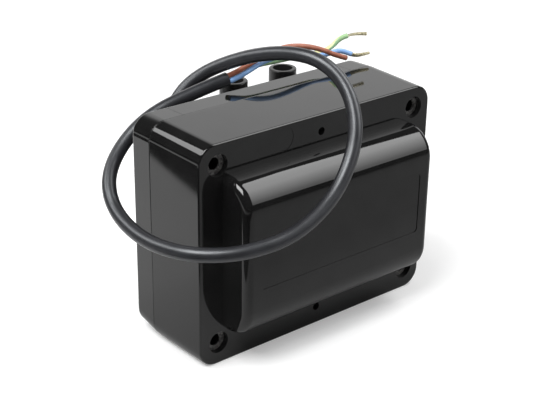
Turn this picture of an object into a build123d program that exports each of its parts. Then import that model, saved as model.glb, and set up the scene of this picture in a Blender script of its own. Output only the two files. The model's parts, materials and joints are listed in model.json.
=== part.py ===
from build123d import *
import math
import os

# Ignition transformer in a moulded case, in millimetres.
# X runs along the long side, the hump faces -Y and +Z is up.
# The origin is under the middle of the case, on the surface that it stands on.

os.makedirs("parts", exist_ok=True)

# Case
CASE_WIDTH = 133.0
CASE_HEIGHT = 103.0
FRONT_DEPTH = 33.5
BACK_DEPTH = 13.5
CASE_WALL = 3.0
CASE_CORNER = 8.5
FRONT_DRAFT = 0.7
BACK_DRAFT = 0.4
BACK_LIFT = 2.2
FRONT_RIM_ROUND = 0.8
BACK_RIM_ROUND = 1.5
SEAM_ROUND = 0.3

# Hump on the front
HUMP_RISE = 16.5
HUMP_SIDE_INSET = 12.8
HUMP_END_INSET = 15.6
HUMP_BEND = 14.0
HUMP_SIDE_ROUND = 3.5
HUMP_INNER_ROUND = 1.0
PANEL_WIDTH = 92.0
PANEL_HEIGHT = 29.0
PANEL_LIFT = 2.2
PANEL_DEPTH = 0.3
PANEL_CORNER = 2.0

# Terminal housing on the back
REAR_RISE = 22.5
REAR_HALF_WIDTH = 49.0
REAR_BOTTOM = 24.0
REAR_WALL = 2.2
REAR_ROUND = 2.5
LEDGE_TOP = 68.0
LEDGE_THICKNESS = 2.5

# Terminal carrier
CARRIER_HALF_WIDTH = 48.5
CARRIER_FIT = 0.15

# Tongue of the front shell in the rebate behind it
TONGUE_WIDTH = 1.4
TONGUE_DEPTH = 2.0
TONGUE_FIT = 0.15

# Corner holes
HOLE_SIDE_EDGE = 10.5
HOLE_END_EDGE = 10.3
HOLE_RADIUS = 2.75
SINK_RADIUS = 5.0
SINK_DEPTH = 2.8
BOSS_WALL = 3.0
BOSS_DEPTH = 7.0
TUBE_WALL = 2.2

# Small moulding marks on the face
DIMPLE_RADIUS = 1.8
DIMPLE_DEPTH = 2.0
DIMPLE_EDGE = 8.6
MARK_RADIUS = 5.75
MARK_DEPTH = 0.15
MARK_X = -21.6
MARK_EDGE = 7.1

# High-voltage sockets
SOCKET_RIGHT_X = 24.6
SOCKET_LEFT_X = -4.6
SOCKET_SETBACK = 8.3
SOCKET_TOP = 103.4
SOCKET_RADIUS = 6.5
SOCKET_BORE = 4.65
SOCKET_BORE_DEPTH = 23.5
SOCKET_RIM_ROUND = 0.5
SOCKET_COLLAR_RADIUS = 7.5
SOCKET_COLLAR = 1.5
SOCKET_NECK_RADIUS = 5.6
SOCKET_NECK_DROP = 4.0
PLATE_HOLE_FIT = 0.15
CONTACT_RADIUS = 2.0
CONTACT_HEAD_RADIUS = 3.0
CONTACT_HEAD = 1.5
CONTACT_FIT = 0.05
CONTACT_DROP = 4.0

# Iron core: an E packet closed by an I packet
LIMB = 20.0
WINDOW = 18.0
YOKE = 10.0
LEG = 10.0
STACK = 26.0
CORE_CLEARANCE = 0.3
SHUNT_WIDTH = 4.5
SHUNT_AIR_GAP = 0.5
POST_INSET = 17.7
POST_RADIUS = 3.0

# Coils
COIL_GAP = 0.3
COIL_WALL_CLEARANCE = 0.5
COIL_WINDOW_CLEARANCE = 1.0
BOBBIN_FIT = 0.3
BOBBIN_WALL = 1.2
BOBBIN_FLANGE = 1.2
COIL_CORNER = 6.0
WRAP = 0.6
PRIMARY_WINDING_INSET = 2.0
SECONDARY_WIDTH = 18.0
SECONDARY_CHAMBERS = 4
SECONDARY_FLANGE = 1.0
SECONDARY_WINDING_INSET = 1.5
BRIDGE_WIDTH = 1.0
BRIDGE_FIT = 0.1

# Leads inside the case
LEAD_DIAMETER = 2.4
LEAD_FIT = 0.15
HV_LEAD_Z = 43.0
PRIMARY_LEAD_SPREAD = 4.0
PRIMARY_LEAD_Z = 36.0
PRIMARY_LEAD_STEP = 3.0
BROWN_TURN = 30.0
BLUE_TURN = 270.0
EARTH_TURN = 150.0

# Earth tag and screw
SCREW_RADIUS = 2.0
SCREW_LENGTH = 9.0
SCREW_HEAD_RADIUS = 3.6
SCREW_HEAD = 2.4
SCREW_SLOT_WIDTH = 1.0
SCREW_SLOT_DEPTH = 1.2
SCREW_FIT = 0.2
TAG_RADIUS = 4.2
TAG_THICKNESS = 0.8
TAG_BARREL_RADIUS = 1.7
TAG_BARREL_LIFT = 0.3
TAG_BARREL_LENGTH = 6.0

# Gland and mains cord
CORD_DIAMETER = 6.2
GLAND_X = -36.3
GLAND_Y = 36.2
GLAND_TOP = 78.0
GLAND_TOP_RADIUS = 4.1
GLAND_FOOT_RADIUS = 4.9
GLAND_NECK_RADIUS = 4.0
GLAND_FLANGE_RADIUS = 4.6
GLAND_FLANGE = 2.0
GLAND_BODY_RADIUS = 3.8
GLAND_DROP = 10.0
ARC_SHARE = 0.45
STRAND_DIAMETER = 1.2

# Route of the cord from the gland, over and round the case, to its cut end
CORD_ROUTE = [
    (-36.3, 36.2, 78.0),
    (-36.3, 36.2, 87.0),
    (-33.3, 35.8, 95.9),
    (-27.2, 34.8, 103.5),
    (-19.8, 30.0, 110.1),
    (-13.5, 20.0, 116.3),
    (-7.9, 6.0, 122.2),
    (-2.5, -9.0, 125.6),
    (2.6, -22.5, 124.5),
    (5.7, -34.5, 116.7),
    (2.4, -45.5, 104.2),
    (-4.8, -51.0, 90.7),
    (-18.5, -55.0, 77.3),
    (-39.5, -56.5, 68.0),
    (-58.8, -53.5, 65.6),
    (-72.0, -46.0, 64.6),
    (-81.7, -34.5, 64.3),
    (-85.5, -14.9, 63.6),
    (-84.8, 5.8, 67.5),
    (-80.6, 18.8, 76.2),
    (-68.9, 28.0, 84.9),
    (-53.2, 30.0, 95.4),
    (-35.1, 26.6, 102.4),
    (-13.1, 22.6, 107.4),
]

# Routes of the insulated wires past the cut sheath
BROWN_ROUTE = [
    (-13.4, 22.5, 108.7),
    (-9.0, 21.7, 109.7),
    (-2.1, 19.9, 113.0),
    (6.3, 17.8, 116.5),
    (16.2, 16.6, 118.5),
    (26.6, 15.0, 117.0),
    (36.2, 13.9, 113.6),
    (43.2, 13.2, 109.9),
    (49.7, 12.5, 107.4),
]
BLUE_ROUTE = [
    (-13.1, 21.4, 106.5),
    (-8.7, 20.6, 107.5),
    (-2.2, 20.1, 109.9),
    (5.0, 20.4, 112.1),
    (13.5, 20.3, 113.0),
    (23.7, 19.9, 111.7),
    (34.4, 18.9, 109.2),
    (42.2, 17.6, 109.3),
    (48.4, 17.0, 110.2),
    (51.8, 15.3, 109.3),
    (54.4, 14.0, 108.0),
]
GREEN_YELLOW_ROUTE = [
    (-12.7, 23.9, 106.8),
    (-8.3, 23.1, 107.8),
    (-2.7, 22.9, 109.2),
    (5.1, 23.8, 110.0),
    (14.6, 23.2, 109.8),
    (25.8, 22.9, 109.7),
    (36.3, 22.2, 109.2),
    (44.0, 20.9, 109.9),
    (47.9, 19.8, 112.0),
    (50.0, 18.9, 114.4),
    (52.2, 18.2, 115.6),
    (54.7, 17.6, 116.0),
]

# Routes of the bare strands on two of the wires
BLUE_STRAND_ROUTE = [
    (54.4, 14.0, 108.0),
    (56.0, 13.2, 107.2),
    (59.6, 12.6, 107.0),
    (64.1, 12.0, 107.2),
]
GREEN_YELLOW_STRAND_ROUTE = [
    (54.7, 17.6, 116.0),
    (57.2, 17.0, 116.4),
    (61.0, 16.3, 116.2),
    (65.0, 15.5, 115.6),
]

# Depths through the case
total_depth = HUMP_RISE + FRONT_DEPTH + BACK_DEPTH + REAR_RISE
hump_front_y = -total_depth / 2
face_y = hump_front_y + HUMP_RISE
seam_y = face_y + FRONT_DEPTH
back_y = seam_y + BACK_DEPTH
rear_y = back_y + REAR_RISE
front_inside_y = face_y + CASE_WALL
back_inside_y = back_y - CASE_WALL
ledge_bottom = LEDGE_TOP - LEDGE_THICKNESS
inside_seam = (CASE_WALL, CASE_WALL, CASE_WALL)
inner_corner = CASE_CORNER - CASE_WALL

# Corner holes
hole_x = CASE_WIDTH / 2 - HOLE_SIDE_EDGE
hole_places = [(x, z) for x in (-hole_x, hole_x) for z in (HOLE_END_EDGE, CASE_HEIGHT - HOLE_END_EDGE)]
boss_radius = SINK_RADIUS + BOSS_WALL
tube_radius = HOLE_RADIUS + TUBE_WALL

# Core
core_half_width = hole_x - boss_radius - CORE_CLEARANCE
window_half_width = core_half_width - LEG
core_front_y = front_inside_y
core_rear_y = core_front_y + STACK
core_mid_y = (core_front_y + core_rear_y) / 2
core_mid_z = CASE_HEIGHT / 2
core_half_height = LIMB / 2 + WINDOW + YOKE
core_bottom = core_mid_z - core_half_height
core_top = core_mid_z + core_half_height
post_x = core_half_width - POST_INSET

# Coils: they reach out of the core as far as the nearer wall lets them
front_room = core_front_y - hump_front_y - CASE_WALL
rear_room = back_inside_y - core_rear_y
coil_overhang = min(front_room, rear_room) - COIL_WALL_CLEARANCE
coil_half_y = STACK / 2 + coil_overhang
coil_half_z = LIMB / 2 + WINDOW - COIL_WINDOW_CLEARANCE
flange_half_y = coil_half_y - WRAP
flange_half_z = coil_half_z - WRAP
bore_half_y = STACK / 2 + BOBBIN_FIT
bore_half_z = LIMB / 2 + BOBBIN_FIT
tube_half_y = bore_half_y + BOBBIN_WALL
tube_half_z = bore_half_z + BOBBIN_WALL
secondary_outer_x = window_half_width - COIL_GAP
secondary_inner_x = secondary_outer_x - SECONDARY_WIDTH
shunt_outer_x = secondary_inner_x - COIL_GAP
shunt_inner_x = shunt_outer_x - SHUNT_WIDTH
primary_half_width = shunt_inner_x - COIL_GAP
chamber_width = (SECONDARY_WIDTH - (SECONDARY_CHAMBERS + 1) * SECONDARY_FLANGE) / SECONDARY_CHAMBERS
chamber_pitch = chamber_width + SECONDARY_FLANGE

# Sockets and gland
socket_y = back_y + SOCKET_SETBACK
socket_floor = SOCKET_TOP - SOCKET_BORE_DEPTH
socket_foot = ledge_bottom - SOCKET_NECK_DROP
contact_foot = socket_foot - CONTACT_DROP
gland_foot = ledge_bottom - GLAND_DROP


def upright(y):
    """The plane at depth y whose own axes are the part's X and Z."""
    return Plane(origin=(0, y, 0), x_dir=(1, 0, 0), z_dir=(0, -1, 0))


def block(low, high):
    """A box between two corners."""
    size = [b - a for a, b in zip(low, high)]
    middle = [(a + b) / 2 for a, b in zip(low, high)]
    return Pos(*middle) * Box(*size)


def rod_y(x, z, radius, start, end):
    """A round bar along Y between two depths."""
    return Pos(x, (start + end) / 2, z) * Rot(90, 0, 0) * Cylinder(radius, end - start)


def rod_z(x, y, radius, start, end):
    """A round bar along Z between two heights."""
    return Pos(x, y, (start + end) / 2) * Cylinder(radius, end - start)


def case_block(near_y, near, far_y, far, corner):
    """A flat-sided block between two depths, its sides, bottom and top moved in by near and far there."""
    near_side, near_bottom, near_top = near
    far_side, far_bottom, far_top = far
    half = CASE_WIDTH / 2
    plan = Polyline(
        (near_side - half, near_y),
        (half - near_side, near_y),
        (half - far_side, far_y),
        (far_side - half, far_y),
        close=True,
    )
    profile = Polyline(
        (near_y, near_bottom),
        (far_y, far_bottom),
        (far_y, CASE_HEIGHT - far_top),
        (near_y, CASE_HEIGHT - near_top),
        close=True,
    )
    body = extrude(make_face(plan), amount=CASE_HEIGHT)
    body &= extrude(Plane.YZ * make_face(profile), amount=half, both=True)
    corners = [edge for edge in body.edges() if near_y + 0.01 < edge.center().Y < far_y - 0.01]
    return fillet(corners, corner)


def seam_slab(inset, start, end):
    """A straight slab with the seam's outline, moved in by inset, between two depths."""
    outline = RectangleRounded(CASE_WIDTH - 2 * inset, CASE_HEIGHT - 2 * inset, CASE_CORNER - inset)
    return extrude(upright(end) * Pos(0, core_mid_z) * outline, amount=end - start)


def hump_block(inset, base_y, side_round):
    """The hump's solid, moved in by inset, with bent top and bottom and rounded ends."""
    front = hump_front_y + inset
    low = HUMP_END_INSET + inset
    high = CASE_HEIGHT - HUMP_END_INSET - inset
    half = CASE_WIDTH / 2 - HUMP_SIDE_INSET - inset
    outline = Rectangle(base_y - front, high - low)
    outline = fillet(outline.vertices().group_by(Axis.X)[0], HUMP_BEND - inset)
    profile = Plane.YZ * Pos((front + base_y) / 2, (low + high) / 2) * outline
    solid = extrude(profile, amount=half, both=True)
    ends = [solid.faces().sort_by(Axis.X)[0], solid.faces().sort_by(Axis.X)[-1]]
    rims = [edge for face in ends for edge in face.edges() if edge.center().Y < base_y - 0.01]
    return fillet(rims, side_round)


def front_shell():
    """The deep front half with its hump, corner bosses, tongue and marks."""
    body = case_block(face_y, (FRONT_DRAFT, 0, FRONT_DRAFT), seam_y, (0, 0, 0), CASE_CORNER)
    body = fillet(body.faces().sort_by(Axis.Y)[0].edges(), FRONT_RIM_ROUND)
    body = fillet(body.faces().sort_by(Axis.Y)[-1].edges(), SEAM_ROUND)
    body += hump_block(0, front_inside_y, HUMP_SIDE_ROUND)
    tongue_end = seam_y + TONGUE_DEPTH
    body += seam_slab(CASE_WALL - TONGUE_WIDTH, seam_y, tongue_end)
    inner_side = CASE_WALL + FRONT_DRAFT * (1 - CASE_WALL / FRONT_DEPTH)
    inside_near = (inner_side, CASE_WALL, inner_side)
    body -= case_block(front_inside_y, inside_near, tongue_end, inside_seam, inner_corner)
    body -= hump_block(CASE_WALL, front_inside_y, HUMP_INNER_ROUND)
    for x, z in hole_places:
        body += rod_y(x, z, boss_radius, face_y + CASE_WALL / 2, face_y + BOSS_DEPTH)
        body += rod_y(x, z, tube_radius, face_y + CASE_WALL / 2, seam_y)
        body -= rod_y(x, z, HOLE_RADIUS, face_y, seam_y)
        body -= rod_y(x, z, SINK_RADIUS, face_y, face_y + SINK_DEPTH)
    for z in (DIMPLE_EDGE, CASE_HEIGHT - DIMPLE_EDGE):
        body -= rod_y(0, z, DIMPLE_RADIUS, face_y, face_y + DIMPLE_DEPTH)
    body -= rod_y(MARK_X, CASE_HEIGHT - MARK_EDGE, MARK_RADIUS, face_y, face_y + MARK_DEPTH)
    panel = upright(hump_front_y + PANEL_DEPTH) * Pos(0, core_mid_z + PANEL_LIFT)
    body -= extrude(panel * RectangleRounded(PANEL_WIDTH, PANEL_HEIGHT, PANEL_CORNER), amount=PANEL_DEPTH)
    return body


def back_body():
    """The shallow back half before the carrier's notch is taken out of it."""
    body = case_block(seam_y, (0, 0, 0), back_y, (BACK_DRAFT, BACK_LIFT, BACK_DRAFT), CASE_CORNER)
    body = fillet(body.faces().sort_by(Axis.Y)[-1].edges(), BACK_RIM_ROUND)
    body = fillet(body.faces().sort_by(Axis.Y)[0].edges(), SEAM_ROUND)
    inner_share = 1 - CASE_WALL / BACK_DEPTH
    inner_draft = CASE_WALL + BACK_DRAFT * inner_share
    inner_lift = CASE_WALL + BACK_LIFT * inner_share
    inside_far = (inner_draft, inner_lift, inner_draft)
    body -= case_block(seam_y, inside_seam, back_inside_y, inside_far, inner_corner)
    rebate = CASE_WALL - TONGUE_WIDTH - TONGUE_FIT
    body -= seam_slab(rebate, seam_y, seam_y + TONGUE_DEPTH + TONGUE_FIT)
    return body


def carrier_window(half_width):
    """The space over the ledge that the carrier fills in the back half."""
    return block((-half_width, seam_y, ledge_bottom), (half_width, back_y, CASE_HEIGHT))


def core_posts(z):
    """Two posts that hold the core's rear face."""
    return [rod_y(x, z, POST_RADIUS, core_rear_y, back_inside_y) for x in (-post_x, post_x)]


def back_shell(whole):
    """The back half with its terminal housing, corner tubes and lower posts."""
    body = whole - carrier_window(CARRIER_HALF_WIDTH + CARRIER_FIT)
    housing = block(
        (-REAR_HALF_WIDTH, back_inside_y, REAR_BOTTOM), (REAR_HALF_WIDTH, rear_y, ledge_bottom)
    )
    rims = [
        edge
        for edge in housing.edges()
        if edge.center().Y > back_inside_y + 0.01 and edge.center().Z < ledge_bottom - 0.01
    ]
    body += fillet(rims, REAR_ROUND)
    body -= block(
        (-REAR_HALF_WIDTH + REAR_WALL, back_inside_y, REAR_BOTTOM + REAR_WALL),
        (REAR_HALF_WIDTH - REAR_WALL, rear_y - REAR_WALL, ledge_bottom),
    )
    for x, z in hole_places:
        body += rod_y(x, z, tube_radius, seam_y, back_y - CASE_WALL / 2)
        body -= rod_y(x, z, HOLE_RADIUS, seam_y, back_y)
    for post in core_posts(core_bottom + YOKE / 2):
        body += post
    return body


def terminal_carrier(whole):
    """The strip, riser and ledge that carry the sockets and the gland."""
    body = whole & carrier_window(CARRIER_HALF_WIDTH)
    ledge = block((-REAR_HALF_WIDTH, back_y, ledge_bottom), (REAR_HALF_WIDTH, rear_y, LEDGE_TOP))
    corners = ledge.edges().filter_by(Axis.Z).group_by(Axis.Y)[-1]
    body += fillet(corners, REAR_ROUND)
    for post in core_posts(core_top - YOKE / 2):
        body += post
    for x in (SOCKET_LEFT_X, SOCKET_RIGHT_X):
        body -= rod_z(x, socket_y, SOCKET_NECK_RADIUS + PLATE_HOLE_FIT, ledge_bottom, LEDGE_TOP)
    body -= rod_z(GLAND_X, GLAND_Y, GLAND_NECK_RADIUS + PLATE_HOLE_FIT, ledge_bottom, LEDGE_TOP)
    return body


def hv_socket(x):
    """A socket tower that stands on the ledge and passes through it."""
    tower = rod_z(x, socket_y, SOCKET_RADIUS, LEDGE_TOP, SOCKET_TOP)
    tower = fillet(tower.edges().group_by(Axis.Z)[-1], SOCKET_RIM_ROUND)
    tower += rod_z(x, socket_y, SOCKET_COLLAR_RADIUS, LEDGE_TOP, LEDGE_TOP + SOCKET_COLLAR)
    tower += rod_z(x, socket_y, SOCKET_NECK_RADIUS, socket_foot, LEDGE_TOP)
    tower -= rod_z(x, socket_y, SOCKET_BORE, socket_floor, SOCKET_TOP)
    seat = socket_floor - CONTACT_HEAD
    tower -= rod_z(x, socket_y, CONTACT_HEAD_RADIUS + CONTACT_FIT, seat, socket_floor)
    tower -= rod_z(x, socket_y, CONTACT_RADIUS + CONTACT_FIT, socket_foot, seat)
    return tower


def hv_contact(x):
    """The brass stud in the floor of a socket."""
    stud = rod_z(x, socket_y, CONTACT_RADIUS, contact_foot, socket_floor)
    return stud + rod_z(x, socket_y, CONTACT_HEAD_RADIUS, socket_floor - CONTACT_HEAD, socket_floor)


def cord_gland():
    """The moulded strain relief that the cord leaves by, tapered above the ledge."""
    flange_foot = ledge_bottom - GLAND_FLANGE
    outline = Polyline(
        (0, gland_foot),
        (GLAND_BODY_RADIUS, gland_foot),
        (GLAND_BODY_RADIUS, flange_foot),
        (GLAND_FLANGE_RADIUS, flange_foot),
        (GLAND_FLANGE_RADIUS, ledge_bottom),
        (GLAND_NECK_RADIUS, ledge_bottom),
        (GLAND_NECK_RADIUS, LEDGE_TOP),
        (GLAND_FOOT_RADIUS, LEDGE_TOP),
        (GLAND_TOP_RADIUS, GLAND_TOP),
        (0, GLAND_TOP),
        close=True,
    )
    return Pos(GLAND_X, GLAND_Y, 0) * revolve(Plane.XZ * make_face(outline), Axis.Z)


def iron_core_e():
    """The E packet: spine on the left and three legs towards the right."""
    body = block(
        (-core_half_width, core_front_y, core_bottom), (window_half_width, core_rear_y, core_top)
    )
    for low in (core_bottom + YOKE, core_mid_z + LIMB / 2):
        body -= block(
            (-window_half_width, core_front_y, low), (window_half_width, core_rear_y, low + WINDOW)
        )
    depth = core_rear_y - SCREW_LENGTH - SCREW_FIT
    return body - rod_y(earth_x, earth_z, SCREW_RADIUS + SCREW_FIT / 2, depth, core_rear_y)


def iron_core_i():
    """The I packet that closes the E packet on the right."""
    return block(
        (window_half_width, core_front_y, core_bottom), (core_half_width, core_rear_y, core_top)
    )


def magnetic_shunt(side, level):
    """A packet between the limb and a yoke, on the side and level given as 1 or -1."""
    x = sorted((side * shunt_inner_x, side * shunt_outer_x))
    near = core_mid_z + level * (LIMB / 2 + SHUNT_AIR_GAP)
    far = core_mid_z + level * (LIMB / 2 + WINDOW - SHUNT_AIR_GAP)
    return block((x[0], core_front_y, min(near, far)), (x[1], core_rear_y, max(near, far)))


def coil_bar(start, end, half_y, half_z, corner):
    """A bar along X round the limb, with rounded corners."""
    outline = RectangleRounded(2 * half_y, 2 * half_z, corner)
    return Pos(start, 0, 0) * extrude(Plane.YZ * Pos(core_mid_y, core_mid_z) * outline, amount=end - start)


def coil_tube(start, end):
    """The bobbin's sleeve before its bore is cut."""
    return coil_bar(start, end, tube_half_y, tube_half_z, BOBBIN_WALL)


def coil_bore(start, end):
    """The bobbin's square bore for the limb."""
    return block(
        (start, core_mid_y - bore_half_y, core_mid_z - bore_half_z),
        (end, core_mid_y + bore_half_y, core_mid_z + bore_half_z),
    )


def flange(start, thickness):
    """One bobbin flange."""
    return coil_bar(start, start + thickness, flange_half_y, flange_half_z, COIL_CORNER)


def lead_hole(x, z):
    """The hole through a wrap for a lead."""
    return rod_y(x, z, LEAD_DIAMETER / 2 + LEAD_FIT, core_mid_y + tube_half_y, core_mid_y + coil_half_y)


def primary_pieces():
    """The primary's bobbin, winding and wrap."""
    start = -primary_half_width
    end = primary_half_width
    bobbin = coil_tube(start, end) + flange(start, BOBBIN_FLANGE)
    bobbin += flange(end - BOBBIN_FLANGE, BOBBIN_FLANGE)
    bobbin -= coil_bore(start, end)
    inner = start + BOBBIN_FLANGE
    outer = end - BOBBIN_FLANGE
    half_y = flange_half_y - PRIMARY_WINDING_INSET
    half_z = flange_half_z - PRIMARY_WINDING_INSET
    winding = coil_bar(inner, outer, half_y, half_z, COIL_CORNER) - coil_tube(inner, outer)
    wrap = coil_bar(inner, outer, half_y + WRAP, half_z + WRAP, COIL_CORNER + WRAP)
    wrap -= coil_bar(inner, outer, half_y, half_z, COIL_CORNER)
    for x, z in primary_lead_places:
        wrap -= lead_hole(x, z)
    return bobbin, winding, wrap


def secondary_pieces(side):
    """A secondary's bobbin, winding and wrap, on the side given as 1 or -1."""
    start = min(side * secondary_inner_x, side * secondary_outer_x)
    end = start + SECONDARY_WIDTH
    rear = core_mid_y + flange_half_y
    bobbin = coil_tube(start, end)
    for index in range(SECONDARY_CHAMBERS + 1):
        bobbin += flange(start + index * chamber_pitch, SECONDARY_FLANGE)
    bobbin -= coil_bore(start, end)
    half_y = flange_half_y - SECONDARY_WINDING_INSET
    half_z = flange_half_z - SECONDARY_WINDING_INSET
    first = start + SECONDARY_FLANGE
    last = end - SECONDARY_FLANGE
    slot_half = BRIDGE_WIDTH / 2 + BRIDGE_FIT
    bobbin -= block(
        (first, core_mid_y + tube_half_y, core_mid_z - slot_half), (last, rear, core_mid_z + slot_half)
    )
    winding = block(
        (first, core_mid_y + tube_half_y, core_mid_z - BRIDGE_WIDTH / 2),
        (last, core_mid_y + half_y, core_mid_z + BRIDGE_WIDTH / 2),
    )
    for index in range(SECONDARY_CHAMBERS):
        low = first + index * chamber_pitch
        high = low + chamber_width
        winding += coil_bar(low, high, half_y, half_z, COIL_CORNER) - coil_tube(low, high)
    wrap = coil_bar(start, end, coil_half_y, coil_half_z, COIL_CORNER + WRAP)
    wrap -= coil_bar(start, end, flange_half_y, flange_half_z, COIL_CORNER)
    wrap -= lead_hole(side * hv_lead_x, HV_LEAD_Z)
    return bobbin, winding, wrap


def earth_screw():
    """The slotted screw that holds the earth tag on the core."""
    seat = core_rear_y + TAG_THICKNESS
    top = seat + SCREW_HEAD
    screw = rod_y(earth_x, earth_z, SCREW_RADIUS, core_rear_y - SCREW_LENGTH, seat)
    screw += rod_y(earth_x, earth_z, SCREW_HEAD_RADIUS, seat, top)
    return screw - block(
        (earth_x - SCREW_HEAD_RADIUS, top - SCREW_SLOT_DEPTH, earth_z - SCREW_SLOT_WIDTH / 2),
        (earth_x + SCREW_HEAD_RADIUS, top, earth_z + SCREW_SLOT_WIDTH / 2),
    )


def earth_tag():
    """The ring tag with the barrel that its lead is crimped in."""
    top = core_rear_y + TAG_THICKNESS
    tag = rod_y(earth_x, earth_z, TAG_RADIUS, core_rear_y, top)
    tag += block(
        (earth_x - TAG_BARREL_RADIUS, core_rear_y, earth_z), (earth_x + TAG_BARREL_RADIUS, top, barrel_top)
    )
    tag -= rod_y(earth_x, earth_z, SCREW_RADIUS + SCREW_FIT / 2, core_rear_y, top)
    return tag + rod_z(earth_x, barrel_y, TAG_BARREL_RADIUS, barrel_top - TAG_BARREL_LENGTH, barrel_top)


def bend_radii(points):
    """The radius at each inner point of a route: as large as its two runs allow."""
    radii = []
    for before, here, after in zip(points, points[1:], points[2:]):
        first = Vector(*here) - Vector(*before)
        second = Vector(*after) - Vector(*here)
        half_turn = math.radians(first.get_angle(second)) / 2
        radii.append(ARC_SHARE * min(first.length, second.length) / math.tan(half_turn))
    return radii


def lead(name, points, diameter):
    """A round lead along straight runs joined by tangent arcs, with its measures printed."""
    radii = bend_radii(points)
    path = FilletPolyline(*points, radius=radii)
    start = Plane(origin=path @ 0, z_dir=path % 0)
    solid = sweep(start * Circle(diameter / 2), path=path)
    expected = math.pi * diameter**2 / 4 * path.length
    print(name, "length", round(path.length, 1), "volume against section x length", round(solid.volume / expected, 4))
    print("  radii in diameters", [round(radius / diameter, 1) for radius in radii])
    return solid


# Earth screw in the middle of the E packet's lower left corner
earth_x = -core_half_width + LEG / 2
earth_z = core_bottom + YOKE / 2
barrel_y = core_rear_y + TAG_BARREL_RADIUS + TAG_BARREL_LIFT
barrel_top = earth_z + TAG_RADIUS + TAG_BARREL_LENGTH

# Ends of the leads inside the case
hv_lead_x = secondary_inner_x + SECONDARY_FLANGE + chamber_width / 2 + chamber_pitch
hv_lead_y = core_mid_y + flange_half_y - SECONDARY_WINDING_INSET
primary_lead_y = core_mid_y + flange_half_y - PRIMARY_WINDING_INSET
primary_lead_places = [
    (side * PRIMARY_LEAD_SPREAD, PRIMARY_LEAD_Z + side * PRIMARY_LEAD_STEP) for side in (-1, 1)
]
core_ring = LEAD_DIAMETER / 2 / math.cos(math.radians(30)) + LEAD_FIT


def hv_lead(side, socket_x):
    """Points of the lead from a secondary to the contact over it."""
    x = side * hv_lead_x
    out_y = (core_mid_y + coil_half_y + socket_y) / 2
    rise = contact_foot - HV_LEAD_Z
    return [
        (x, hv_lead_y, HV_LEAD_Z),
        (x, out_y, HV_LEAD_Z),
        (socket_x, socket_y, HV_LEAD_Z + rise / 2),
        (socket_x, socket_y, contact_foot),
    ]


def gland_core(turn):
    """Where a core leaves the gland's foot, at this angle in degrees."""
    angle = math.radians(turn)
    return GLAND_X + core_ring * math.cos(angle), GLAND_Y + core_ring * math.sin(angle)


def primary_lead(turn, place):
    """Points of the lead from the gland to its place on the primary."""
    start_x, start_y = gland_core(turn)
    x, z = place
    drop = (gland_foot - z) / 2
    return [
        (start_x, start_y, gland_foot),
        (start_x, start_y, gland_foot - drop),
        ((2 * start_x + x) / 3, (start_y + socket_y) / 2, z + drop / 4),
        (x, socket_y, z),
        (x, primary_lead_y, z),
    ]


def earth_lead(turn):
    """Points of the lead from the gland to the earth tag."""
    start_x, start_y = gland_core(turn)
    middle = (gland_foot + barrel_top) / 2
    return [
        (start_x, start_y, gland_foot),
        (start_x, start_y, middle + LEAD_DIAMETER),
        ((start_x + earth_x) / 2, (start_y + barrel_y) / 2, middle - LEAD_DIAMETER),
        (earth_x, barrel_y, barrel_top + LEAD_DIAMETER * 4),
        (earth_x, barrel_y, barrel_top),
    ]


whole_back = back_body()
primary_bobbin, primary_winding, primary_wrap = primary_pieces()
parts = {
    "front_shell": front_shell(),
    "back_shell": back_shell(whole_back),
    "terminal_carrier": terminal_carrier(whole_back),
    "cord_gland": cord_gland(),
    "iron_core_e": iron_core_e(),
    "iron_core_i": iron_core_i(),
    "primary_bobbin": primary_bobbin,
    "primary_winding": primary_winding,
    "primary_wrap": primary_wrap,
    "earth_tag": earth_tag(),
    "earth_screw": earth_screw(),
}
for side_name, side, socket_x in (("left", -1, SOCKET_LEFT_X), ("right", 1, SOCKET_RIGHT_X)):
    bobbin, winding, wrap = secondary_pieces(side)
    parts["secondary_bobbin_" + side_name] = bobbin
    parts["secondary_winding_" + side_name] = winding
    parts["secondary_wrap_" + side_name] = wrap
    parts["hv_socket_" + side_name] = hv_socket(socket_x)
    parts["hv_contact_" + side_name] = hv_contact(socket_x)
    parts["magnetic_shunt_upper_" + side_name] = magnetic_shunt(side, 1)
    parts["magnetic_shunt_lower_" + side_name] = magnetic_shunt(side, -1)
    parts["hv_lead_" + side_name] = lead("hv_lead_" + side_name, hv_lead(side, socket_x), LEAD_DIAMETER)

leads = {
    "primary_lead_brown": (primary_lead(BROWN_TURN, primary_lead_places[1]), LEAD_DIAMETER),
    "primary_lead_blue": (primary_lead(BLUE_TURN, primary_lead_places[0]), LEAD_DIAMETER),
    "earth_lead": (earth_lead(EARTH_TURN), LEAD_DIAMETER),
    "mains_cord": (CORD_ROUTE, CORD_DIAMETER),
    "wire_brown": (BROWN_ROUTE, LEAD_DIAMETER),
    "wire_blue": (BLUE_ROUTE, LEAD_DIAMETER),
    "wire_green_yellow": (GREEN_YELLOW_ROUTE, LEAD_DIAMETER),
    "strands_blue": (BLUE_STRAND_ROUTE, STRAND_DIAMETER),
    "strands_green_yellow": (GREEN_YELLOW_STRAND_ROUTE, STRAND_DIAMETER),
}
for name, (points, diameter) in leads.items():
    parts[name] = lead(name, points, diameter)

for name, shape in parts.items():
    export_step(shape, "parts/" + name + ".step")
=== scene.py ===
import json
import math

import bpy
from mathutils import Matrix, Vector


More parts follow.
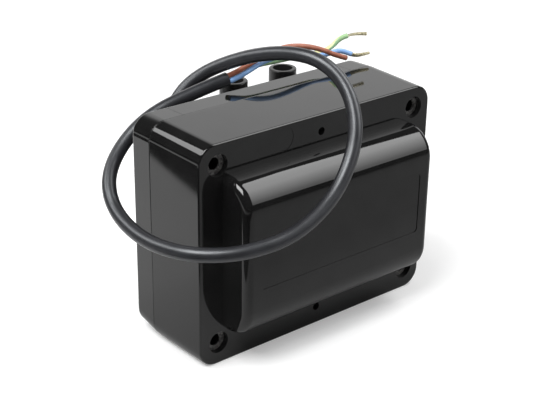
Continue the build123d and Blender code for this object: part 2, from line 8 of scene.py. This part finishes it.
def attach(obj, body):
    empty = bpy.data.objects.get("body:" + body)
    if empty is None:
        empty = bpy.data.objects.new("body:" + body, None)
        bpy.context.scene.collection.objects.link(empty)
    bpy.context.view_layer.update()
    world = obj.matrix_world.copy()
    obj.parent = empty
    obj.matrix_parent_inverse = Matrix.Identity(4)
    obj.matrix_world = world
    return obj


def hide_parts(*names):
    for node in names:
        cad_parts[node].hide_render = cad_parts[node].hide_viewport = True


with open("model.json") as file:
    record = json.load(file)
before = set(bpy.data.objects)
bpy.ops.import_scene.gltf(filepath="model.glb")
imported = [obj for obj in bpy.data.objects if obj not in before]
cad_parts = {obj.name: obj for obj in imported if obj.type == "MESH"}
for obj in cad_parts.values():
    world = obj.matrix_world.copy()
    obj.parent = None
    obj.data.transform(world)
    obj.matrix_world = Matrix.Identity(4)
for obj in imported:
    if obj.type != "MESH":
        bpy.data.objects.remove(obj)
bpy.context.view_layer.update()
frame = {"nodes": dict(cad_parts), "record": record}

# Everything is in metres in the frame's axes, apart from the routes, which are in millimetres.
MM = 0.001

# Camera: place in metres, lens and sensor in millimetres
CAMERA_PLACE = Vector((-0.3416, -0.4004, 0.2906))
CAMERA_HEADING = math.radians(39.81)
CAMERA_TILT = math.radians(24.35)
CAMERA_ROLL = math.radians(0.75)
CAMERA_LENS = 85.15
SENSOR = 36.0

# Cord sizes. A stripe's phase, wobble and edges are shares of a turn, its twist is in turns a metre.
CORD_DIAMETER = 0.0062
WIRE_DIAMETER = 0.0024
WIRE_SIDES = 20
STRIPE_TWIST = 25.0
STRIPE_PHASE = 0.85
STRIPE_WOBBLE = 0.08
STRIPE_EDGES = (0.29, 0.33)

# Strands: nine round one in the middle, and each bundle's radius at its start and end
STRAND_WIRE = 0.0004
STRAND_COUNT = 9
STRAND_PITCH = 0.011
BLUE_BUNDLE = (0.00085, 0.0005)
GREEN_YELLOW_BUNDLE = (0.0004, 0.0007)

# Counterbores of the corner holes: their place from the case's middle, radius, floor and look, where the
# look is a painted reflection, pale and speckled, on their floors
HOLE_ALONG = 0.056
HOLE_ABOVE = 0.0412
CASE_MIDDLE = 0.0515
SEAT_RADIUS = 0.0049
SEAT_FLOOR = (-0.0239, -0.0229)
SEAT_DARK = (0.012, 0.012, 0.012)
SEAT_PAINTED_REFLECTION = (0.16, 0.155, 0.15)
SEAT_ROUGHNESS = 0.45

# Lamps, and the surround's light: AMBIENT on matt surfaces, the rest as mirror reflections see it
LAMP_TARGET = Vector((0.0, 0.0, 0.07))
LAMP_FADE = (0.08, 0.6)
AMBIENT = 0.35
ROOM_LIGHT = 0.05
BACKDROP_AZIMUTH = 50.0
BACKDROP_SIDE = (0.55, 0.75)
BACKDROP_TOP = (0.48, 0.60)

# Floor: half its side, and its own light to the camera near and far from the object
FLOOR_REACH = 3.0
FLOOR_LIFT = 0.22
FAR_FLOOR_LIFT = 0.75
FAR_FLOOR = (0.5, 1.8)

# Floor as mirror reflections see it: shares of its paint, and where they change
FLOOR_SHEEN = 0.78
FRONT_FLOOR_SHADE = 0.3
FRONT_FLOOR = (-0.12, 0.05)
LEFT_FLOOR_SHADE = 0.04
LEFT_FLOOR_EDGE = -0.1885
LEFT_FLOOR_BLUR = 0.002
LEFT_FLOOR_SLANT = 0.25
LEFT_FLOOR_PIVOT = 0.15
LEFT_STRIP = (-0.59, -0.33)

# Routes, in millimetres
CORD_ROUTE = [
    (-36.3, 36.2, 78.0),
    (-36.3, 36.2, 87.0),
    (-33.3, 35.8, 95.9),
    (-27.2, 34.8, 103.5),
    (-19.8, 30.0, 110.1),
    (-13.5, 20.0, 116.3),
    (-7.9, 6.0, 122.2),
    (-2.5, -9.0, 125.6),
    (2.6, -22.5, 124.5),
    (5.7, -34.5, 116.7),
    (2.4, -45.5, 104.2),
    (-4.8, -51.0, 90.7),
    (-18.5, -55.0, 77.3),
    (-39.5, -56.5, 68.0),
    (-58.8, -53.5, 65.6),
    (-72.0, -46.0, 64.6),
    (-81.7, -34.5, 64.3),
    (-85.5, -14.9, 63.6),
    (-84.8, 5.8, 67.5),
    (-80.6, 18.8, 76.2),
    (-68.9, 28.0, 84.9),
    (-53.2, 30.0, 95.4),
    (-35.1, 26.6, 102.4),
    (-13.1, 22.6, 107.4),
]
BROWN_ROUTE = [
    (-13.4, 22.5, 108.7),
    (-9.0, 21.7, 109.7),
    (-2.1, 19.9, 113.0),
    (6.3, 17.8, 116.5),
    (16.2, 16.6, 118.5),
    (26.6, 15.0, 117.0),
    (36.2, 13.9, 113.6),
    (43.2, 13.2, 109.9),
    (49.7, 12.5, 107.4),
]
BLUE_ROUTE = [
    (-13.1, 21.4, 106.5),
    (-8.7, 20.6, 107.5),
    (-2.2, 20.1, 109.9),
    (5.0, 20.4, 112.1),
    (13.5, 20.3, 113.0),
    (23.7, 19.9, 111.7),
    (34.4, 18.9, 109.2),
    (42.2, 17.6, 109.3),
    (48.4, 17.0, 110.2),
    (51.8, 15.3, 109.3),
    (54.4, 14.0, 108.0),
]
GREEN_YELLOW_ROUTE = [
    (-12.7, 23.9, 106.8),
    (-8.3, 23.1, 107.8),
    (-2.7, 22.9, 109.2),
    (5.1, 23.8, 110.0),
    (14.6, 23.2, 109.8),
    (25.8, 22.9, 109.7),
    (36.3, 22.2, 109.2),
    (44.0, 20.9, 109.9),
    (47.9, 19.8, 112.0),
    (50.0, 18.9, 114.4),
    (52.2, 18.2, 115.6),
    (54.7, 17.6, 116.0),
]
BLUE_STRAND_ROUTE = [
    (54.4, 14.0, 108.0),
    (56.0, 13.2, 107.2),
    (59.6, 12.6, 107.0),
    (64.1, 12.0, 107.2),
]
GREEN_YELLOW_STRAND_ROUTE = [
    (54.7, 17.6, 116.0),
    (57.2, 17.0, 116.4),
    (61.0, 16.3, 116.2),
    (65.0, 15.5, 115.6),
]


def make_camera():
    """A plain camera at the photograph's viewing angle."""
    data = bpy.data.cameras.new("camera")
    data.lens = CAMERA_LENS
    data.sensor_width = SENSOR
    data.clip_start = 0.01
    camera = bpy.data.objects.new("camera", data)
    bpy.context.collection.objects.link(camera)
    turn = Matrix.Rotation(-CAMERA_HEADING, 4, "Z")
    tilt = Matrix.Rotation(math.pi / 2 - CAMERA_TILT, 4, "X")
    roll = Matrix.Rotation(CAMERA_ROLL, 4, "Z")
    camera.matrix_world = Matrix.Translation(CAMERA_PLACE) @ turn @ tilt @ roll
    bpy.context.scene.camera = camera


class Nodes:
    """A material's node tree with short calls for the nodes used here."""

    def __init__(self, name):
        self.material = bpy.data.materials.new(name)
        self.material.use_nodes = True
        self.tree = self.material.node_tree
        self.shader = self.tree.nodes["Principled BSDF"]
        self.place = self.add("ShaderNodeTexCoord").outputs["Object"]

    def add(self, kind, **values):
        node = self.tree.nodes.new(kind)
        for key, value in values.items():
            setattr(node, key, value)
        return node

    def link(self, source, target):
        self.tree.links.new(source, target)

    def set(self, **values):
        for key, value in values.items():
            self.shader.inputs[key.replace("_", " ")].default_value = value

    def noise(self, scale, detail=3.0, roughness=0.5, place=None):
        node = self.add("ShaderNodeTexNoise")
        node.inputs["Scale"].default_value = scale
        node.inputs["Detail"].default_value = detail
        node.inputs["Roughness"].default_value = roughness
        self.link(place or self.place, node.inputs["Vector"])
        return node.outputs["Fac"]

    def blend(self, factor, first, second):
        node = self.add("ShaderNodeMix", data_type="RGBA")
        self.link(factor, node.inputs["Factor"])
        for socket, value in ((node.inputs[6], first), (node.inputs[7], second)):
            if isinstance(value, tuple):
                socket.default_value = (*value, 1.0)
            else:
                self.link(value, socket)
        return node.outputs[2]

    def maths(self, operation, first, second=None):
        node = self.add("ShaderNodeMath", operation=operation)
        for socket, value in zip(node.inputs, (first, second)):
            if value is None:
                continue
            if isinstance(value, float):
                socket.default_value = value
            else:
                self.link(value, socket)
        return node.outputs[0]

    def spread(self, source, low, high, from_low=0.3, from_high=0.7):
        node = self.add("ShaderNodeMapRange")
        node.inputs["From Min"].default_value = from_low
        node.inputs["From Max"].default_value = from_high
        node.inputs["To Min"].default_value = low
        node.inputs["To Max"].default_value = high
        self.link(source, node.inputs["Value"])
        return node.outputs["Result"]

    def bump(self, height, distance, strength=1.0, normal=None):
        node = self.add("ShaderNodeBump")
        node.inputs["Strength"].default_value = strength
        node.inputs["Distance"].default_value = distance
        self.link(height, node.inputs["Height"])
        if normal is not None:
            self.link(normal, node.inputs["Normal"])
        return node.outputs["Normal"]

    def paint(self, colour=None, roughness=None, normal=None):
        if colour is not None:
            self.link(colour, self.shader.inputs["Base Color"])
        if roughness is not None:
            self.link(roughness, self.shader.inputs["Roughness"])
        if normal is not None:
            self.link(normal, self.shader.inputs["Normal"])
        return self.material


def screw_seat(n):
    """A share of 1 on the floors of the four counterbores, from the place on the case, and 0 elsewhere."""
    parts = n.add("ShaderNodeSeparateXYZ")
    n.link(n.place, parts.inputs[0])
    along = n.maths("ABSOLUTE", parts.outputs["X"])
    along = n.maths("SUBTRACT", along, HOLE_ALONG)
    above = n.maths("SUBTRACT", parts.outputs["Z"], CASE_MIDDLE)
    above = n.maths("ABSOLUTE", above)
    above = n.maths("SUBTRACT", above, HOLE_ABOVE)
    along = n.maths("MULTIPLY", along, along)
    above = n.maths("MULTIPLY", above, above)
    away = n.maths("SQRT", n.maths("ADD", along, above))
    inside = n.maths("LESS_THAN", away, SEAT_RADIUS)
    sunk = n.maths("GREATER_THAN", parts.outputs["Y"], SEAT_FLOOR[0])
    near = n.maths("LESS_THAN", parts.outputs["Y"], SEAT_FLOOR[1])
    return n.maths("MULTIPLY", inside, n.maths("MULTIPLY", sunk, near))


def moulded_plastic(name, dark, light, smooth, rough, wave, painted_seat_reflection=False):
    """Black moulded plastic: a faint mottle, uneven gloss, slow sink waves and a fine skin.

    It can also paint a reflection on the floors of the case's counterbores, as a pale, speckled colour.
    """
    n = Nodes(name)
    colour = n.blend(n.spread(n.noise(90.0, 4.0), 0.0, 1.0), dark, light)
    gloss = n.spread(n.noise(35.0, 5.0, 0.6), smooth, rough)
    if painted_seat_reflection:
        # Painted reflection: the counterbore floors get a pale, speckled colour in place of the black
        # plastic.
        seat = screw_seat(n)
        reflection_speckle = n.spread(n.noise(1500.0, 4.0, 0.7), 0.0, 1.0, 0.42, 0.62)
        colour = n.blend(seat, colour, n.blend(reflection_speckle, SEAT_DARK, SEAT_PAINTED_REFLECTION))
        gloss = n.maths("MAXIMUM", gloss, n.maths("MULTIPLY", seat, SEAT_ROUGHNESS))
    waves = n.bump(n.noise(22.0, 1.0), wave, 1.0)
    skin = n.bump(n.noise(2600.0, 2.0), 0.000002, 0.6, waves)
    n.set(IOR=1.54)
    return n.paint(colour, gloss, skin)


def sheath_rubber(name, dark, light, smooth, rough):
    """Flexible black sheath with a fine grain and an uneven gloss."""
    n = Nodes(name)
    colour = n.blend(n.spread(n.noise(160.0, 4.0), 0.0, 1.0), dark, light)
    gloss = n.spread(n.noise(220.0, 4.0, 0.6), smooth, rough)
    grain = n.bump(n.noise(1800.0, 3.0), 0.000005, 0.5)
    n.set(IOR=1.55, Specular_Tint=(0.88, 0.94, 1.0, 1.0))
    n.set(Coat_Weight=0.6, Coat_Roughness=0.34, Coat_IOR=1.6)
    return n.paint(colour, gloss, grain)


def insulation(name, dark, light):
    """Smooth coloured insulation with faint changes of shade and gloss."""
    n = Nodes(name)
    colour = n.blend(n.spread(n.noise(260.0, 3.0), 0.0, 1.0), dark, light)
    gloss = n.spread(n.noise(400.0, 2.0), 0.3, 0.42)
    grain = n.bump(n.noise(2400.0, 2.0), 0.00001, 0.5)
    n.set(IOR=1.48)
    return n.paint(colour, gloss, grain)


def striped_insulation(name):
    """Green and yellow insulation, striped along its mesh's own coordinates."""
    n = Nodes(name)
    across = n.add("ShaderNodeUVMap", uv_map="UVMap").outputs["UV"]
    parts = n.add("ShaderNodeSeparateXYZ")
    n.link(across, parts.inputs[0])
    wobble = n.add("ShaderNodeMath", operation="MULTIPLY_ADD")
    n.link(n.noise(90.0, 2.0), wobble.inputs[0])
    wobble.inputs[1].default_value = STRIPE_WOBBLE
    n.link(parts.outputs["Y"], wobble.inputs[2])
    turned = n.maths("ADD", wobble.outputs[0], STRIPE_PHASE)
    wave = n.add("ShaderNodeMath", operation="PINGPONG")
    n.link(turned, wave.inputs[0])
    wave.inputs[1].default_value = 0.5
    edge = n.spread(wave.outputs[0], 0.0, 1.0, *STRIPE_EDGES)
    green = n.blend(n.noise(300.0), (0.27, 0.46, 0.22), (0.40, 0.60, 0.34))
    yellow = n.blend(n.noise(280.0), (0.78, 0.72, 0.30), (0.88, 0.84, 0.46))
    grain = n.bump(n.noise(2400.0, 2.0), 0.00001, 0.5)
    gloss = n.spread(n.noise(400.0, 2.0), 0.3, 0.42)
    n.set(IOR=1.48)
    return n.paint(n.blend(edge, green, yellow), gloss, grain)


def metal(name, dark, light, smooth, rough, scale=500.0):
    """Bare metal with tarnish patches and a fine grain."""
    n = Nodes(name)
    colour = n.blend(n.spread(n.noise(scale, 4.0), 0.0, 1.0), dark, light)
    gloss = n.spread(n.noise(scale * 1.7, 3.0), smooth, rough)
    grain = n.bump(n.noise(scale * 6, 2.0), 0.000008, 0.6)
    n.set(Metallic=1.0)
    return n.paint(colour, gloss, grain)


def make_materials():
    """One material for each of the record's slots.

    After its name come its darker and lighter colour, and then its lowest and highest roughness.
    """
    return {
        "case": moulded_plastic(
            "case_plastic",
            dark=(0.005, 0.005, 0.005),
            light=(0.008, 0.008, 0.008),
            smooth=0.03,
            rough=0.07,
            wave=0.00005,
            painted_seat_reflection=True,
        ),
        "socket": moulded_plastic(
            "socket_plastic",
            dark=(0.010, 0.010, 0.010),
            light=(0.018, 0.017, 0.017),
            smooth=0.24,
            rough=0.36,
            wave=0.00004,
        ),
        "gland": sheath_rubber(
            "gland_rubber",
            dark=(0.012, 0.012, 0.012),
            light=(0.020, 0.020, 0.020),
            smooth=0.36,
            rough=0.5,
        ),
        "cord_sheath": sheath_rubber(
            "sheath_rubber",
            dark=(0.010, 0.010, 0.012),
            light=(0.016, 0.016, 0.019),
            smooth=0.38,
            rough=0.46,
        ),
        "wire_brown": insulation("brown_insulation", (0.30, 0.095, 0.055), (0.42, 0.155, 0.095)),
        "wire_blue": insulation("blue_insulation", (0.19, 0.36, 0.68), (0.27, 0.46, 0.78)),
        "wire_green": striped_insulation("striped_insulation"),
        "strands": metal(
            "strand_metal", (0.44, 0.39, 0.24), (0.82, 0.77, 0.56), 0.25, 0.4, scale=900.0
        ),
        "contact": metal("contact_brass", (0.55, 0.40, 0.16), (0.72, 0.56, 0.28), 0.25, 0.4),
        "core_iron": metal("core_iron", (0.20, 0.20, 0.21), (0.34, 0.34, 0.35), 0.4, 0.55),
        "bobbin": insulation("bobbin_plastic", (0.50, 0.46, 0.38), (0.58, 0.55, 0.46)),
        "winding": metal("winding_wire", (0.42, 0.14, 0.05), (0.58, 0.22, 0.09), 0.3, 0.45),
        "wrap": insulation("wrap_tape", (0.52, 0.42, 0.12), (0.66, 0.55, 0.20)),
        "hv_lead": insulation("hv_lead_rubber", (0.38, 0.36, 0.33), (0.50, 0.48, 0.45)),
        "tag": metal("tag_metal", (0.50, 0.46, 0.36), (0.66, 0.62, 0.50), 0.25, 0.4),
        "screw": metal("screw_metal", (0.40, 0.40, 0.41), (0.58, 0.58, 0.59), 0.25, 0.4),
    }


def dress_frame(materials):
    """Gives each CAD node the material of its slot."""
    for part in frame["record"]["subparts"]:
        node = frame["nodes"][part["node"]]
        node.data.materials.clear()
        node.data.materials.append(materials[part["material_slot"]])


def add_curve(name, route, diameter):
    """A round cord on one smooth spline whose control points are the route's."""
    curve = bpy.data.curves.new(name, "CURVE")
    curve.dimensions = "3D"
    curve.resolution_u = 16
    curve.bevel_depth = diameter / 2
    curve.bevel_resolution = 8
    curve.use_fill_caps = True
    spline = curve.splines.new("NURBS")
    spline.points.add(len(route) - 1)
    for point, place in zip(spline.points, route):
        point.co = (*(value * MM for value in place), 1.0)
    spline.order_u = 3
    spline.use_endpoint_u = True
    piece = bpy.data.objects.new(name, curve)
    bpy.context.collection.objects.link(piece)
    return piece


def centreline(route):
    """The points that the route's spline passes, in order."""
    piece = add_curve("line", route, 0.0)
    mesh = bpy.data.meshes.new_from_object(piece)
    line = [vertex.co.copy() for vertex in mesh.vertices]
    bpy.data.meshes.remove(mesh)
    curve = piece.data
    bpy.data.objects.remove(piece)
    bpy.data.curves.remove(curve)
    return line


def frames_along(line):
    """A tangent and two steady normals at each point of a line."""
    tangents = []
    for index in range(len(line)):
        ahead = line[min(index + 1, len(line) - 1)]
        behind = line[max(index - 1, 0)]
        tangents.append((ahead - behind).normalized())
    normal = tangents[0].orthogonal().normalized()
    frames = []
    for tangent in tangents:
        normal = (normal - tangent * normal.dot(tangent)).normalized()
        frames.append((tangent, normal, tangent.cross(normal)))
    return frames


def tube_mesh(name, line, radius, twist):
    """A closed round tube along a line, with its own coordinates along and round it.

    The coordinate round it turns with the length, by "twist" in turns a metre.
    """
    sides = WIRE_SIDES
    frames = frames_along(line)
    vertices = []
    for point, (tangent, first, second) in zip(line, frames):
        for step in range(sides):
            angle = 2 * math.pi * step / sides
            vertices.append(point + radius * (math.cos(angle) * first + math.sin(angle) * second))
    faces = []
    for ring in range(len(line) - 1):
        for step in range(sides):
            following = (step + 1) % sides
            low = ring * sides
            high = low + sides
            faces.append((low + step, low + following, high + following, high + step))
    faces.append(tuple(reversed(range(sides))))
    last = (len(line) - 1) * sides
    faces.append(tuple(range(last, last + sides)))
    mesh = bpy.data.meshes.new(name)
    mesh.from_pydata(vertices, [], faces)
    travelled = [0.0]
    for before, after in zip(line, line[1:]):
        travelled.append(travelled[-1] + (after - before).length)
    layer = mesh.uv_layers.new(name="UVMap")
    for polygon in mesh.polygons:
        corners = list(polygon.loop_indices)
        wraps = len(corners) == 4 and polygon.index < (len(line) - 1) * sides
        first_step = polygon.index % sides
        for corner in corners:
            vertex = mesh.loops[corner].vertex_index
            ring, step = divmod(vertex, sides)
            round_share = step / sides
            if wraps and first_step == sides - 1 and step == 0:
                round_share = 1.0
            along = travelled[ring]
            layer.data[corner].uv = (along, round_share + along * twist)
    for polygon in mesh.polygons[: (len(line) - 1) * sides]:
        polygon.use_smooth = True
    piece = bpy.data.objects.new(name, mesh)
    bpy.context.collection.objects.link(piece)
    return piece


def length_of(line):
    """The length of a line of points."""
    return sum((after - before).length for before, after in zip(line, line[1:]))


def add_wire(name, node, route, material, twist=0.0, mirrored=True):
    """An insulated wire past the cut sheath, as a free cord of its own, mirrored by the case or not."""
    line = centreline(route)
    piece = tube_mesh(name, line, WIRE_DIAMETER / 2, twist)
    piece.data.materials.append(material)
    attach(piece, "root")
    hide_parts(node)
    piece.visible_glossy = mirrored


def add_strands(name, node, route, material, bundle_radii):
    """Bare strands twisted round each other, in a bundle that goes from one radius to another."""
    line = centreline(route)
    frames = frames_along(line)
    curve = bpy.data.curves.new(name, "CURVE")
    curve.dimensions = "3D"
    curve.bevel_depth = STRAND_WIRE / 2
    curve.bevel_resolution = 3
    curve.use_fill_caps = True
    full = length_of(line)
    start_radius, end_radius = bundle_radii
    for strand in range(STRAND_COUNT + 1):
        spline = curve.splines.new("POLY")
        spline.points.add(len(line) - 1)
        travelled = 0.0
        for index, (point, (tangent, first, second)) in enumerate(zip(line, frames)):
            if index:
                travelled += (point - line[index - 1]).length
            angle = 2 * math.pi * (strand / STRAND_COUNT + travelled / STRAND_PITCH)
            share = min(travelled / full, 1.0)
            radius = start_radius + (end_radius - start_radius) * share
            if strand == STRAND_COUNT:
                radius = 0.0
            place = point + radius * (math.cos(angle) * first + math.sin(angle) * second)
            spline.points[index].co = (*place, 1.0)
    piece = bpy.data.objects.new(name, curve)
    bpy.context.collection.objects.link(piece)
    curve.materials.append(material)
    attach(piece, "root")
    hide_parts(node)
    return piece


def add_cords(materials):
    """The mains cord, its three wires and the bare strands on two of them."""
    cord = add_curve("cord_sheath", CORD_ROUTE, CORD_DIAMETER)
    cord.data.materials.append(materials["cord_sheath"])
    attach(cord, "root")
    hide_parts("mains_cord")
    # The photograph's case shows no mirror image of the sheath or the brown wire.
    cord.visible_glossy = False
    length_of(centreline(CORD_ROUTE))
    blue_ends = add_strands(
        "blue_bare_strands", "strands_blue", BLUE_STRAND_ROUTE, materials["strands"], BLUE_BUNDLE
    )
    earth_ends = add_strands(
        "green_yellow_bare_strands",
        "strands_green_yellow",
        GREEN_YELLOW_STRAND_ROUTE,
        materials["strands"],
        GREEN_YELLOW_BUNDLE,
    )
    add_wire(
        "brown_wire",
        "wire_brown",
        BROWN_ROUTE,
        materials["wire_brown"],
        mirrored=False,
    )
    add_wire(
        "blue_wire",
        "wire_blue",
        BLUE_ROUTE,
        materials["wire_blue"],
    )
    add_wire(
        "green_yellow_wire",
        "wire_green_yellow",
        GREEN_YELLOW_ROUTE,
        materials["wire_green"],
        twist=STRIPE_TWIST,
    )


def add_lamp(name, azimuth, elevation, distance, width, height, power, fade=1.0, roll=0.0):
    """A soft rectangular lamp that faces the case from an azimuth and elevation in degrees.

    Its light fades towards its foot to the share "fade", and it is turned about its own axis by "roll".
    """
    data = bpy.data.lights.new(name, "AREA")
    data.shape = "RECTANGLE"
    data.size = width
    data.size_y = height
    data.energy = power
    data.use_nodes = True
    tree = data.node_tree
    place = tree.nodes.new("ShaderNodeNewGeometry").outputs["Parametric"]
    parts = tree.nodes.new("ShaderNodeSeparateXYZ")
    tree.links.new(place, parts.inputs[0])
    dim = tree.nodes.new("ShaderNodeMapRange")
    dim.inputs["From Min"].default_value = LAMP_FADE[0]
    dim.inputs["From Max"].default_value = LAMP_FADE[1]
    dim.inputs["To Min"].default_value = fade
    dim.inputs["To Max"].default_value = 1.0
    tree.links.new(parts.outputs["Y"], dim.inputs["Value"])
    tree.links.new(dim.outputs["Result"], tree.nodes["Emission"].inputs["Strength"])
    lamp = bpy.data.objects.new(name, data)
    turn = math.radians(azimuth)
    rise = math.radians(elevation)
    way = Vector((math.cos(rise) * math.cos(turn), math.cos(rise) * math.sin(turn), math.sin(rise)))
    lamp.location = LAMP_TARGET + way * distance
    facing = (-way).to_track_quat("-Z", "Y").to_matrix()
    lamp.rotation_euler = (facing @ Matrix.Rotation(math.radians(roll), 3, "Z")).to_euler()
    bpy.context.collection.objects.link(lamp)


def add_floor():
    """A pale floor, white to the camera away from the object's shadow.

    To mirror reflections it is dimmer in front of the case and dark past a slanted edge on the left,
    with a pale strip further out.
    """
    mesh = bpy.data.meshes.new("floor")
    reach = FLOOR_REACH
    corners = [(-reach, -reach, 0), (reach, -reach, 0), (reach, reach, 0), (-reach, reach, 0)]
    mesh.from_pydata(corners, [], [(0, 1, 2, 3)])
    floor = bpy.data.objects.new("floor", mesh)
    bpy.context.collection.objects.link(floor)
    n = Nodes("floor_paint")
    pale = n.blend(n.noise(3.0), (0.80, 0.80, 0.80), (0.83, 0.83, 0.83))
    parts = n.add("ShaderNodeSeparateXYZ")
    n.link(n.place, parts.inputs[0])
    front = n.spread(parts.outputs["Y"], FRONT_FLOOR_SHADE, FLOOR_SHEEN, *FRONT_FLOOR)
    slant = n.maths("SUBTRACT", parts.outputs["Y"], LEFT_FLOOR_PIVOT)
    across = n.maths("ADD", parts.outputs["X"], n.maths("MULTIPLY", slant, LEFT_FLOOR_SLANT))
    edge = (LEFT_FLOOR_EDGE - LEFT_FLOOR_BLUR, LEFT_FLOOR_EDGE + LEFT_FLOOR_BLUR)
    near = n.spread(across, LEFT_FLOOR_SHADE, 1.0, *edge)
    strip = n.maths("LESS_THAN", parts.outputs["X"], LEFT_STRIP[1])
    strip = n.maths("MULTIPLY", strip, n.maths("GREATER_THAN", parts.outputs["X"], LEFT_STRIP[0]))
    front = n.maths("MULTIPLY", front, n.maths("MAXIMUM", near, strip))
    path = n.add("ShaderNodeLightPath")
    share = n.add("ShaderNodeMix")
    n.link(path.outputs["Is Glossy Ray"], share.inputs["Factor"])
    share.inputs["A"].default_value = 1.0
    n.link(front, share.inputs["B"])
    shaded = n.add("ShaderNodeVectorMath", operation="SCALE")
    n.link(pale, shaded.inputs[0])
    n.link(share.outputs["Result"], shaded.inputs["Scale"])
    away = n.add("ShaderNodeVectorMath", operation="LENGTH")
    n.link(n.place, away.inputs[0])
    lift = n.spread(away.outputs["Value"], FLOOR_LIFT, FAR_FLOOR_LIFT, *FAR_FLOOR)
    lift = n.maths("MULTIPLY", lift, path.outputs["Is Camera Ray"])
    n.link(lift, n.shader.inputs["Emission Strength"])
    n.shader.inputs["Emission Color"].default_value = (1.0, 1.0, 1.0, 1.0)
    n.shader.inputs["Specular IOR Level"].default_value = 0.0
    n.set(Roughness=0.9)
    floor.data.materials.append(n.paint(shaded.outputs[0]))


def make_world():
    """A white surround to the camera, and to reflections a white backdrop behind in a dim room."""
    world = bpy.data.worlds.new("surround")
    bpy.context.scene.world = world
    world.use_nodes = True
    tree = world.node_tree
    back = tree.nodes["Background"]
    path = tree.nodes.new("ShaderNodeLightPath")

    def maths(operation, first, second):
        node = tree.nodes.new("ShaderNodeMath")
        node.operation = operation
        node.use_clamp = True
        for socket, value in zip(node.inputs, (first, second)):
            if isinstance(value, float):
                socket.default_value = value
            else:
                tree.links.new(value, socket)
        return node.outputs[0]

    def ramp(source, low, high):
        node = tree.nodes.new("ShaderNodeMapRange")
        node.interpolation_type = "SMOOTHSTEP"
        node.inputs["From Min"].default_value = low
        node.inputs["From Max"].default_value = high
        tree.links.new(source, node.inputs["Value"])
        return node.outputs["Result"]

    way = tree.nodes.new("ShaderNodeTexCoord").outputs["Generated"]
    parts = tree.nodes.new("ShaderNodeSeparateXYZ")
    tree.links.new(way, parts.inputs[0])
    facing = tree.nodes.new("ShaderNodeVectorMath")
    facing.operation = "DOT_PRODUCT"
    tree.links.new(way, facing.inputs[0])
    heading = math.radians(BACKDROP_AZIMUTH)
    facing.inputs[1].default_value = (math.cos(heading), math.sin(heading), 0.0)
    low = maths("SUBTRACT", 1.0, ramp(parts.outputs["Z"], *BACKDROP_TOP))
    backdrop = maths("MULTIPLY", ramp(facing.outputs["Value"], *BACKDROP_SIDE), low)
    room = maths("MULTIPLY", backdrop, 1.0 - ROOM_LIGHT)
    room = maths("ADD", room, ROOM_LIGHT)
    glossy = maths("MULTIPLY", room, path.outputs["Is Glossy Ray"])
    plain = maths("SUBTRACT", 1.0, path.outputs["Is Glossy Ray"])
    plain = maths("MULTIPLY", plain, AMBIENT)
    seen = maths("ADD", glossy, plain)
    strength = maths("MAXIMUM", seen, path.outputs["Is Camera Ray"])
    back.inputs["Color"].default_value = (1.0, 1.0, 1.0, 1.0)
    tree.links.new(strength, back.inputs["Strength"])


def make_stage():
    """The floor, the surround and three soft lamps."""
    add_floor()
    make_world()
    add_lamp(
        "softbox_right",
        azimuth=-36.0,
        elevation=41.0,
        distance=0.9,
        width=0.44,
        height=1.14,
        power=7.6,
        fade=0.3,
        roll=-30.0,
    )
    add_lamp(
        "softbox_left", azimuth=191.0, elevation=57.0, distance=0.95, width=0.56, height=0.50, power=9.0
    )
    add_lamp(
        "strip_back_left", azimuth=136.0, elevation=37.5, distance=0.9, width=0.5, height=0.30, power=2.1
    )


def main():
    make_camera()
    materials = make_materials()
    dress_frame(materials)
    add_cords(materials)
    make_stage()
    bpy.context.scene.view_settings.view_transform = "Standard"


main()
